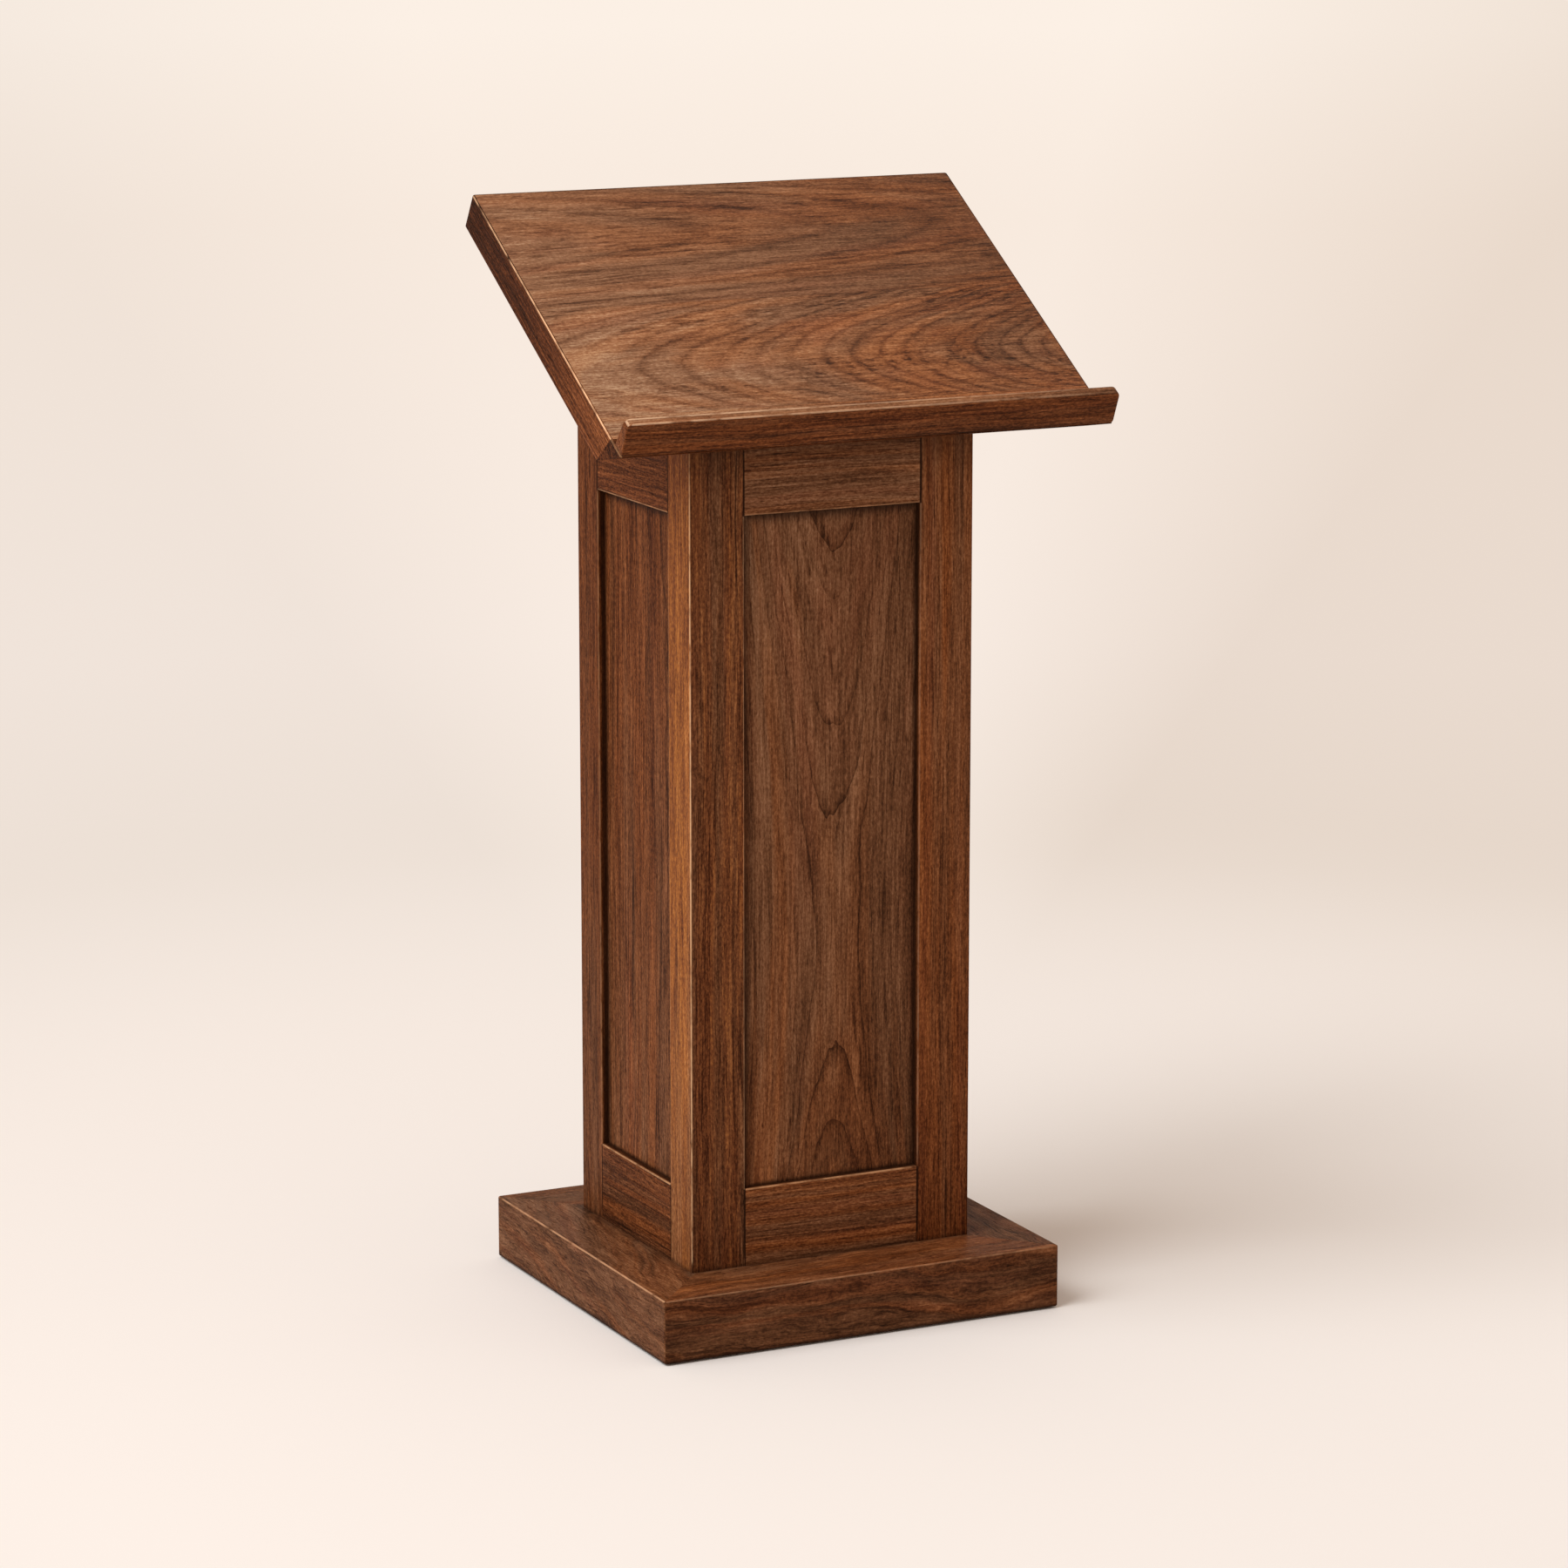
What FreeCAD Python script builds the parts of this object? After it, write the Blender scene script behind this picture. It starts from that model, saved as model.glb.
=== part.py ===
# Walnut lectern: a mitred plinth, a framed and panelled column and a sloping desk with a book ledge.
# The origin is the centre of the plinth's footprint on the floor, +X is the reader's right,
# -Y is the reader's side and +Z is up. Lengths are in millimetres, angles in degrees.
import FreeCAD, Part
import os
import re
import Sketcher

Vector = FreeCAD.Vector
Rotation = FreeCAD.Rotation
Placement = FreeCAD.Placement

# Driving dimensions: name, value and what it measures
DIMENSIONS = [
    ("base_width", 464, "plinth, left to right"),
    ("base_depth", 438, "plinth, front to rear"),
    ("plinth_height", 68, "plinth beams, underside to top"),
    ("plinth_seat", 60, "how far the plinth reaches in under the column"),
    ("plinth_corner", 3, "radius of the plinth's upright corners"),
    ("plinth_arris", 2, "radius of the plinth's top and bottom edges"),
    ("mitre_spline_length", 100, "spline along the mitre"),
    ("mitre_spline_width", 36, "spline across the mitre"),
    ("mitre_spline_thickness", 10, "spline, upright"),
    ("mitre_spline_setback", 60, "outer corner to the spline, along the mitre"),
    ("glide_height", 2, "gap under the plinth that the glides hold open"),
    ("glide_seat", 3, "depth of the glide's seat in the plinth"),
    ("glide_diameter", 28, "glide disc"),
    ("glide_bevel", 0.8, "bevel round the glide's foot"),
    ("glide_nail_diameter", 3.5, "glide nail"),
    ("glide_nail_length", 18, "glide nail above its disc"),
    ("glide_side_inset", 70, "plinth end to the glide's centre, sideways"),
    ("glide_front_inset", 36, "plinth face to the glide's centre, front to rear"),
    ("column_width", 328, "column, left to right"),
    ("column_depth", 280, "column, front to rear"),
    ("column_front_height", 890, "plinth top to the desk's underside at the front face"),
    ("post_width", 62, "corner post, left to right"),
    ("post_depth", 52, "corner post, front to rear"),
    ("post_arris", 2, "radius of the column's outer corners"),
    ("rail_thickness", 26, "every rail, face to back"),
    ("bottom_rail_height", 84, "bottom rails"),
    ("top_rail_height", 90, "front top rail on its face"),
    ("rear_rail_height", 90, "rear top rail on its face"),
    ("panel_recess", 8, "column face to panel face"),
    ("panel_thickness", 10, "panels"),
    ("panel_room", 1, "room for the panel to move in its grooves"),
    ("groove_depth", 10, "panel grooves in posts and rails"),
    ("inner_arris", 0.9, "radius of the edges round each panel"),
    ("joint_ease", 0.4, "easing of the rail ends where they meet the posts"),
    ("tenon_length", 28, "mortise depth in the posts"),
    ("tenon_thickness", 10, "rail tenons"),
    ("tenon_shoulder", 8, "rail edge to tenon"),
    ("glue_room", 0.5, "room past the end of a tenon or dowel"),
    ("fit_play", 0.1, "clearance round a tenon, spline, dowel or screw"),
    ("cleat_width", 30, "cleats, square to the rail that carries them"),
    ("foot_cleat_height", 30, "cleats at the column's foot"),
    ("desk_cleat_height", 36, "cleats under the desk, upright"),
    ("cleat_end_room", 2, "cleat end to post"),
    ("desk_tilt", 31.5, "slope of the desk"),
    ("desk_width", 560, "desk, left to right"),
    ("desk_length", 408, "desk along the slope, without its ledge"),
    ("desk_thickness", 41, "desk"),
    ("desk_overhang", 50, "desk past the column's front face, along the slope"),
    ("desk_undercut", 17, "how far the desk's front end leans back under its top edge"),
    ("desk_corner", 3, "radius of the desk's rear corners in plan"),
    ("desk_arris", 1.6, "radius of the desk's top and bottom edges"),
    ("band_thickness", 2, "edge bands on the desk's ends and rear"),
    ("front_board_width", 34, "front board of the desk, on the top face"),
    ("middle_board_width", 176, "middle board of the desk"),
    ("desk_spline_width", 24, "splines between the desk's boards"),
    ("desk_spline_thickness", 8, "splines between the desk's boards, upright"),
    ("desk_spline_stop", 30, "spline end to the desk's end"),
    ("ledge_height", 38, "ledge above the desk's face"),
    ("ledge_thickness", 20, "ledge at its foot"),
    ("ledge_taper", 5, "how far each face of the ledge leans in at its top"),
    ("ledge_gap", 10, "desk's top front edge to the back of the ledge"),
    ("ledge_top_corner", 7, "radius of the ledge's upper ends, seen from the front"),
    ("ledge_foot_corner", 4, "radius of the ledge's lower ends, and of the nosing's in plan"),
    ("ledge_arris", 1.6, "radius of the ledge's long edges"),
    ("dowel_spacing", 96, "from dowel to dowel along the desk"),
    ("nosing_dowel_diameter", 8, "dowels from the nosing into the desk"),
    ("nosing_dowel_drop", 15, "desk's top front edge to the dowel, down the front end"),
    ("nosing_dowel_depth", 8, "dowel in the nosing"),
    ("desk_dowel_depth", 18, "dowel in the desk"),
    ("ledge_dowel_diameter", 5, "dowels from the ledge into the nosing"),
    ("ledge_dowel_setback", 8, "back of the ledge to its dowels"),
    ("ledge_dowel_depth", 16, "dowel in the ledge"),
    ("ledge_dowel_foot", 5.5, "dowel in the nosing"),
    ("screw_diameter", 5, "wood screws, shank"),
    ("screw_head_diameter", 10, "wood screws, countersunk head"),
    ("screw_head_depth", 3, "wood screws, head to shank"),
    ("screw_tip_length", 6, "wood screws, point"),
    ("plinth_screw_length", 60, "screws from the plinth into the foot cleats"),
    ("plinth_screw_sink", 34, "counterbore under each plinth screw"),
    ("plinth_screw_bore", 14, "diameter of that counterbore"),
    ("plinth_screw_spacing", 110, "between the two screws of one plinth beam"),
    ("cleat_screw_length", 46, "screws from the cleats into the rails"),
    ("cleat_screw_spacing", 56, "between the two screws of one cleat"),
    ("desk_screw_length", 52, "screws from the desk cleats into the desk"),
    ("desk_screw_spacing", 124, "between the two screws of one desk cleat, along the slope"),
]
DOWEL_COUNT = 6

# A turn to give a bound rotation its axis, which a turn of zero would lose
ANY_TURN = 45

# How near to a side of its box, in mm, an edge lies in that side
SAME_PLANE = 1e-4

# Levels and half sizes that several pieces share
BASE_TOP = "(glide_height + plinth_height)"
SLOPE = "tan(desk_tilt)"
FRONT_TOP = f"({BASE_TOP} + column_front_height)"
REAR_TOP = f"({FRONT_TOP} + column_depth * {SLOPE})"
PANEL_LOW = f"({BASE_TOP} + bottom_rail_height)"
PANEL_HIGH = f"({FRONT_TOP} - top_rail_height)"
REAR_PANEL_HIGH = f"({REAR_TOP} - rear_rail_height)"
HALF_WIDTH = "(column_width / 2)"
HALF_DEPTH = "(column_depth / 2)"
HALF_DESK = "(desk_width / 2)"
DESK_FRONT = "(-desk_overhang)"
DESK_REAR = f"({DESK_FRONT} + desk_length)"
LEDGE_REACH = "(ledge_gap + ledge_thickness)"
CLEAT_MIDDLE = "(rail_thickness + cleat_width / 2)"

# Column faces: name, direction of its rails and which side of the column it is on
FACES = [("front", "x", -1), ("rear", "x", 1), ("left", "y", -1), ("right", "y", 1)]
CORNERS = [("front_left", -1, -1), ("front_right", 1, -1), ("rear_left", -1, 1), ("rear_right", 1, 1)]

doc = FreeCAD.newDocument("lectern")
subparts = []


# Document helpers

def make_sheet():
    sheet = doc.addObject("Spreadsheet::Sheet", "dims")
    for row, (alias, value, meaning) in enumerate(DIMENSIONS, 1):
        sheet.set(f"A{row}", meaning)
        sheet.set(f"B{row}", str(value))
        sheet.setAlias(f"B{row}", alias)
    doc.recompute()


def cells(formula):
    """Turn the sheet's names in a formula into references to its cells."""
    return re.sub(r"\b[a-z]+(_[a-z]+)+\b", r"dims.\g<0>", formula)


def bind(thing, formulas):
    for path, formula in formulas.items():
        thing.setExpression(path, cells(formula))


def place(thing, x, y, z):
    bind(thing, {"Placement.Base.x": x, "Placement.Base.y": y, "Placement.Base.z": z})


def size_of(interval):
    low, high = interval
    return f"({high}) - ({low})"


def origin_plane(body, role):
    return next(feature for feature in body.Origin.OriginFeatures if feature.Role == role)


def subpart(thing, label):
    thing.Label = label
    subparts.append(thing)
    return thing


# Intervals

def inset(half, side, near, far):
    """The interval from near to far inside the outer face at side * half."""
    if side < 0:
        return f"-({half}) + ({near})", f"-({half}) + ({far})"
    return f"({half}) - ({far})", f"({half}) - ({near})"


def centred(half):
    return f"-({half})", f"({half})"


def widened(interval, amount):
    low, high = interval
    return f"({low}) - {amount}", f"({high}) + {amount}"


def turned(axis, along, across, upright):
    """Order three intervals as x, y, z for a piece that runs along the given axis."""
    if axis == "x":
        return along, across, upright
    return across, along, upright


def face_half(axis):
    return HALF_DEPTH if axis == "x" else HALF_WIDTH


def opening_half(axis):
    """Half the distance between the two posts of a face."""
    return f"({HALF_WIDTH} - post_width)" if axis == "x" else f"({HALF_DEPTH} - post_depth)"


# Solids

def box(name, x, y, z):
    solid = doc.addObject("Part::Box", name)
    bind(solid, {"Length": size_of(x), "Width": size_of(y), "Height": size_of(z)})
    place(solid, x[0], y[0], z[0])
    return solid


def cylinder(name, radius, height, rotation=Rotation()):
    solid = doc.addObject("Part::Cylinder", name)
    solid.Placement = Placement(Vector(), rotation)
    bind(solid, {"Radius": radius, "Height": height})
    return solid


def draw_polygon(sketch, points):
    """Draw a closed outline whose corners are held by formulas; a formula of 0 puts a corner on an axis."""
    count = len(points)
    # The corners start apart on a parabola, and the constraints then move them
    starts = [Vector(corner, corner * corner, 0) for corner in range(count)]
    for corner in range(count):
        sketch.addGeometry(Part.LineSegment(starts[corner], starts[(corner + 1) % count]), False)
    for corner in range(count):
        sketch.addConstraint(Sketcher.Constraint("Coincident", corner, 2, (corner + 1) % count, 1))
    for corner, formulas in enumerate(points):
        for kind, formula, axis in zip(("DistanceX", "DistanceY"), formulas, (-2, -1)):
            if formula == "0":
                sketch.addConstraint(Sketcher.Constraint("PointOnObject", corner, 1, axis))
                continue
            index = sketch.addConstraint(Sketcher.Constraint(kind, -1, 1, corner, 1, 1.0))
            bind(sketch, {f"Constraints[{index}]": formula})


def prism(name, role, points, length):
    """A body made by padding an outline drawn on one of its origin planes."""
    body = doc.addObject("PartDesign::Body", name)
    sketch = body.newObject("Sketcher::SketchObject", f"{name}_outline")
    sketch.AttachmentSupport = [(origin_plane(body, role), "")]
    sketch.MapMode = "FlatFace"
    draw_polygon(sketch, points)
    pad = body.newObject("PartDesign::Pad", f"{name}_pad")
    pad.Profile = sketch
    bind(pad, {"Length": length})
    doc.recompute()
    return body


def board(name, x, y, z):
    """A rectangular board between three intervals."""
    wide, deep = size_of(x), size_of(y)
    body = prism(name, "XY_Plane", [("0", "0"), (wide, "0"), (wide, deep), ("0", deep)], size_of(z))
    place(body, x[0], y[0], z[0])
    return body


def edges_at(shape, *sides):
    """Names of the edges that suit each of the given sides of a shape's box, such as x- or z+.

    An edge suits x- if it lies in that side, not x- if it doesn't, and off x if it doesn't run along x.
    """
    bounds = shape.BoundBox
    return [f"Edge{index}" for index, edge in enumerate(shape.Edges, 1)
            if all(edge_suits(edge.BoundBox, bounds, side) for side in sides)]


def edge_suits(edge_box, bounds, side):
    *rule, plane = side.split()
    if rule == ["off"]:
        spans = [getattr(edge_box, letter + "Length") for letter in "XYZ" if letter != plane.upper()]
        return max(spans) > SAME_PLANE
    letter, limit = plane[0].upper(), "Max" if plane[1] == "+" else "Min"
    level = getattr(bounds, letter + limit)
    gaps = [abs(getattr(edge_box, letter + end) - level) for end in ("Min", "Max")]
    return (max(gaps) < SAME_PLANE) != (rule == ["not"])


def round_edges(body, radius, *places):
    """Fillet the edges at each place of a body; a place is a tuple of sides for edges_at."""
    tip = body.Tip
    names = [name for sides in places for name in edges_at(tip.Shape, *sides)]
    fillet = body.newObject("PartDesign::Fillet", f"{body.Name}_round")
    fillet.Base = (tip, names)
    bind(fillet, {"Radius": radius})
    doc.recompute()
    return body


def join(name, pieces):
    whole = doc.addObject("Part::MultiFuse", name)
    whole.Shapes = pieces
    whole.Refine = True
    return whole


def cut(name, base, tools):
    result = doc.addObject("Part::Cut", name)
    result.Base = base
    result.Tool = tools[0] if len(tools) == 1 else join(f"{name}_tools", tools)
    return result


def common(name, base, tool):
    result = doc.addObject("Part::Common", name)
    result.Base = base
    result.Tool = tool
    return result


def group(name, pieces):
    bundle = doc.addObject("Part::Compound", name)
    bundle.Links = pieces
    return bundle


def lay_on_slope(thing):
    """Carry a piece from the desk's own level frame to its place on the column."""
    thing.Placement = Placement(Vector(), Rotation(Vector(1, 0, 0), ANY_TURN))
    place(thing, "0", f"-{HALF_DEPTH}", FRONT_TOP)
    bind(thing, {"Placement.Rotation.Angle": "desk_tilt"})
    return thing


# Screws: one half outline for each length and clearance, turned about Z with the head at the origin

def screw_outline(name, length, clearance):
    sketch = doc.addObject("Sketcher::SketchObject", name)
    sketch.Placement = Placement(Vector(), Rotation(Vector(1, 0, 0), 90))
    head = f"screw_head_diameter / 2 + {clearance}"
    shank = f"screw_diameter / 2 + {clearance}"
    tip = f"{length} + {clearance}"
    draw_polygon(sketch, [("0", "0"), (head, "0"), (shank, "screw_head_depth"),
                          (shank, f"{tip} - screw_tip_length"), ("0", tip)])
    return sketch


def turned_screw(name, outline, rotation=Rotation()):
    screw = doc.addObject("Part::Revolution", name)
    screw.Source = outline
    screw.Axis = Vector(0, 0, 1)
    screw.Base = Vector(0, 0, 0)
    screw.Angle = 360
    screw.Solid = True
    screw.Placement = Placement(Vector(), rotation)
    return screw


class Screws:
    """A set of alike screws with the holes that they need."""

    def __init__(self, name, length):
        self.name = name
        self.solid_outline = screw_outline(f"{name}_outline", length, "0")
        self.hole_outline = screw_outline(f"{name}_hole_outline", length, "fit_play")
        self.solids = []
        self.holes = []

    def add(self, x, y, z, rotation=Rotation()):
        number = len(self.solids) + 1
        solid = turned_screw(f"{self.name}_{number}", self.solid_outline, rotation)
        hole = turned_screw(f"{self.name}_hole_{number}", self.hole_outline, rotation)
        for screw in (solid, hole):
            place(screw, x, y, z)
        self.solids.append(solid)
        self.holes.append(hole)
        return hole


# Plinth

SIDE_BEAM_WIDTH = f"(base_width / 2 - {HALF_WIDTH} + plinth_seat)"
FRONT_BEAM_WIDTH = f"(base_depth / 2 - {HALF_DEPTH} + plinth_seat)"
MITRE_RISE = f"({FRONT_BEAM_WIDTH} / {SIDE_BEAM_WIDTH})"
PLINTH_MIDDLE = "(glide_height + plinth_height / 2)"


def mitre_box(name, corner, grow):
    """A flat bar across the mitre of one corner; grow widens it all round for the slot."""
    corner_name, side_x, side_y = corner
    slant = f"atan({MITRE_RISE})"
    angle = {(-1, -1): slant, (1, -1): f"(180 deg - {slant})",
             (1, 1): f"(180 deg + {slant})", (-1, 1): f"(-{slant})"}[side_x, side_y]
    start = f"(mitre_spline_setback - {grow})"
    reach = f"(mitre_spline_width / 2 + {grow})"
    bar = doc.addObject("Part::Box", f"{name}_{corner_name}")
    bind(bar, {"Length": f"mitre_spline_length + 2 * {grow}", "Width": f"2 * {reach}",
               "Height": f"mitre_spline_thickness + 2 * {grow}"})
    place(bar, f"{side_x} * base_width / 2 + cos({angle}) * {start} + sin({angle}) * {reach}",
          f"{side_y} * base_depth / 2 + sin({angle}) * {start} - cos({angle}) * {reach}",
          f"{PLINTH_MIDDLE} - mitre_spline_thickness / 2 - {grow}")
    bind(bar, {"Placement.Rotation.Angle": angle})
    return bar


def glide_place(side_x, side_y):
    return (f"{side_x} * (base_width / 2 - glide_side_inset)",
            f"{side_y} * (base_depth / 2 - glide_front_inset)")


def glide(name, side_x, side_y):
    """A nailed-on disc with a bevelled foot."""
    x, y = glide_place(side_x, side_y)
    disc = cylinder(f"{name}_disc", "glide_diameter / 2", "glide_height + glide_seat - glide_bevel")
    place(disc, x, y, "glide_bevel")
    foot = doc.addObject("Part::Cone", f"{name}_foot")
    bind(foot, {"Radius1": "glide_diameter / 2 - glide_bevel", "Radius2": "glide_diameter / 2",
                "Height": "glide_bevel"})
    place(foot, x, y, "0")
    nail = doc.addObject("Part::Cone", f"{name}_nail")
    bind(nail, {"Radius1": "glide_nail_diameter / 2", "Radius2": "glide_nail_diameter / 8",
                "Height": "glide_nail_length"})
    place(nail, x, y, "glide_height + glide_seat")
    return join(name, [foot, disc, nail])


def glide_seat(name, side_x, side_y):
    """The seat and nail hole that a glide leaves in the plinth."""
    x, y = glide_place(side_x, side_y)
    seat = cylinder(f"{name}_seat", "glide_diameter / 2 + fit_play", "glide_seat + glide_height")
    place(seat, x, y, "0")
    hole = cylinder(f"{name}_hole", "glide_nail_diameter / 2 + fit_play", "glide_nail_length + glue_room")
    place(hole, x, y, "glide_height + glide_seat")
    return [seat, hole]


def counterbore(name, x, y):
    bore = cylinder(name, "plinth_screw_bore / 2", "plinth_screw_sink")
    place(bore, x, y, "glide_height")
    return bore


def make_plinth(plinth_screws):
    blank = board("plinth_blank", centred("base_width / 2"), centred("base_depth / 2"),
                  ("glide_height", BASE_TOP))
    round_edges(blank, "plinth_corner", ("x-", "y-"), ("x-", "y+"), ("x+", "y-"), ("x+", "y+"))
    round_edges(blank, "plinth_arris", ("z-",), ("z+",))

    slots = {corner[0]: mitre_box("mitre_slot", corner, "fit_play") for corner in CORNERS}
    splines = [mitre_box("mitre_spline", corner, "0") for corner in CORNERS]
    subpart(group("plinth_splines", splines), "plinth_splines")

    # Beams: name, length, mitre setback, width, outer corner that it starts from and its turn about Z
    beams = [("front", "base_width", SIDE_BEAM_WIDTH, FRONT_BEAM_WIDTH, (-1, -1), 0),
             ("rear", "base_width", SIDE_BEAM_WIDTH, FRONT_BEAM_WIDTH, (1, 1), 180),
             ("left", "base_depth", FRONT_BEAM_WIDTH, SIDE_BEAM_WIDTH, (-1, 1), 270),
             ("right", "base_depth", FRONT_BEAM_WIDTH, SIDE_BEAM_WIDTH, (1, -1), 90)]
    for name, length, setback, width, (side_x, side_y), turn in beams:
        wedge = prism(f"plinth_{name}_wedge", "XY_Plane",
                      [("0", "0"), (length, "0"), (f"{length} - {setback}", width), (setback, width)],
                      "plinth_height")
        wedge.Placement = Placement(Vector(), Rotation(Vector(0, 0, 1), turn))
        place(wedge, f"{side_x} * base_width / 2", f"{side_y} * base_depth / 2", "glide_height")
        beam = common(f"plinth_{name}_beam", blank, wedge)
        tools = [slots[corner[0]] for corner in CORNERS if name in corner[0]]
        for hole, (x, y) in plinth_screws[name]:
            tools += [hole, counterbore(f"{hole.Name}_bore", x, y)]
        for corner_name, corner_x, corner_y in CORNERS:
            if corner_name.startswith(name):
                tools += glide_seat(f"{corner_name}_glide_seat", corner_x, corner_y)
        subpart(cut(f"plinth_{name}", beam, tools), f"plinth_{name}")

    glides = [glide(f"{name}_glide", side_x, side_y) for name, side_x, side_y in CORNERS]
    subpart(group("floor_glides", glides), "floor_glides")


# Column

def desk_space():
    """Everything above the plane of the desk's underside, to trim the column's top."""
    space = doc.addObject("Part::Box", "desk_space")
    bind(space, {"Length": "2 * column_width", "Width": "3 * column_depth / cos(desk_tilt)",
                 "Height": "2 * column_depth"})
    space.Placement = Placement(Vector(), Rotation(Vector(1, 0, 0), ANY_TURN))
    place(space, "-column_width", f"-{HALF_DEPTH} - column_depth", f"{FRONT_TOP} - column_depth * {SLOPE}")
    bind(space, {"Placement.Rotation.Angle": "desk_tilt"})
    return space


def bottom_tenon():
    return f"{BASE_TOP} + tenon_shoulder", f"{PANEL_LOW} - groove_depth"


def top_tenon(face, end):
    """Upright interval of a top rail's tenon at one of its ends."""
    if face == "rear":
        return f"{REAR_PANEL_HIGH} + groove_depth", f"{REAR_TOP} - rail_thickness * {SLOPE} - tenon_shoulder"
    low = f"{PANEL_HIGH} + groove_depth"
    if face in ("left", "right") and end > 0:
        return low, f"{FRONT_TOP} + (column_depth - post_depth) * {SLOPE} - tenon_shoulder"
    return low, f"{FRONT_TOP} - tenon_shoulder"


def panel_high(face):
    return REAR_PANEL_HIGH if face == "rear" else PANEL_HIGH


def past_opening(axis, end, depth):
    """The interval that reaches the given depth into the post at one end of a face's opening."""
    inner = opening_half(axis)
    if end < 0:
        return f"-({inner} + {depth})", f"-{inner}"
    return inner, f"({inner} + {depth})"


def panel_groove(axis, side):
    return inset(face_half(axis), side, "panel_recess - fit_play",
                 "panel_recess + panel_thickness + fit_play")


def tenon_line(axis, side):
    return inset(face_half(axis), side, "panel_recess", "panel_recess + tenon_thickness")


def post_cuts(post, face, axis, side, end):
    """The groove and the two mortises that one face needs in one of its posts."""
    groove = box(f"{post}_{face}_groove",
                 *turned(axis, past_opening(axis, end, "groove_depth"), panel_groove(axis, side),
                         (f"{PANEL_LOW} - groove_depth", f"{panel_high(face)} + groove_depth")))
    cuts = [groove]
    for level, upright in (("low", bottom_tenon()), ("high", top_tenon(face, end))):
        cuts.append(box(f"{post}_{face}_{level}_mortise",
                        *turned(axis, past_opening(axis, end, "tenon_length"),
                                widened(tenon_line(axis, side), "fit_play"), widened(upright, "fit_play"))))
    return cuts


def make_posts(space):
    for name, side_x, side_y in CORNERS:
        top = REAR_TOP if side_y > 0 else f"({FRONT_TOP} + post_depth * {SLOPE})"
        blank = board(f"{name}_post_blank", inset(HALF_WIDTH, side_x, "0", "post_width"),
                      inset(HALF_DEPTH, side_y, "0", "post_depth"), (BASE_TOP, top))
        outer_x, inner_x = ("x-", "x+") if side_x < 0 else ("x+", "x-")
        outer_y, inner_y = ("y-", "y+") if side_y < 0 else ("y+", "y-")
        round_edges(blank, "post_arris", (outer_x, outer_y))
        round_edges(blank, "inner_arris", (outer_y, inner_x), (outer_x, inner_y))
        cuts = [space]
        for face, axis, side in FACES:
            if face in name:
                cuts += post_cuts(name, face, axis, side, side_x if axis == "x" else side_y)
        subpart(cut(f"{name}_post", blank, cuts), f"{name}_post")


def make_rail(level, face, axis, side, upright, panel_edge, tenons, cuts):
    """A rail with a tenon at each end and a panel groove along the edge that faces the panel."""
    name = f"{face}_{level}_rail"
    along = centred(opening_half(axis))
    across = inset(face_half(axis), side, "0", "rail_thickness")
    blank = board(f"{name}_blank", *turned(axis, along, across, upright))
    across_letter = "y" if axis == "x" else "x"
    outer = across_letter + ("-" if side < 0 else "+")
    round_edges(blank, "inner_arris", (outer, panel_edge))
    round_edges(blank, "joint_ease", (outer, f"{axis}-"), (outer, f"{axis}+"))
    pieces = [blank]
    for end, tenon in zip((-1, 1), tenons):
        pieces.append(box(f"{name}_tenon_{len(pieces)}",
                          *turned(axis, past_opening(axis, end, "(tenon_length - glue_room)"),
                                  tenon_line(axis, side), tenon)))
    edge = upright[1] if panel_edge == "z+" else upright[0]
    depth = (f"{edge} - groove_depth", edge) if panel_edge == "z+" else (edge, f"{edge} + groove_depth")
    groove = box(f"{name}_groove", *turned(axis, along, panel_groove(axis, side), depth))
    subpart(cut(name, join(f"{name}_tenoned", pieces), [groove] + cuts), name)


def make_rails(space, cleat_holes):
    for face, axis, side in FACES:
        make_rail("bottom", face, axis, side, (BASE_TOP, PANEL_LOW), "z+",
                  [bottom_tenon(), bottom_tenon()], cleat_holes[face, "foot"])
        if face == "front":
            top = f"({FRONT_TOP} + rail_thickness * {SLOPE})"
        else:
            top = REAR_TOP
        make_rail("top", face, axis, side, (panel_high(face), top), "z-",
                  [top_tenon(face, -1), top_tenon(face, 1)], [space] + cleat_holes.get((face, "desk"), []))


def make_panels():
    for face, axis, side in FACES:
        reach = f"({opening_half(axis)} + groove_depth - panel_room)"
        upright = (f"{PANEL_LOW} - groove_depth", f"{panel_high(face)} + groove_depth - panel_room")
        across = inset(face_half(axis), side, "panel_recess", "panel_recess + panel_thickness")
        subpart(board(f"{face}_panel", *turned(axis, centred(reach), across, upright)), f"{face}_panel")


# Cleats and the screws that hold them

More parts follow.
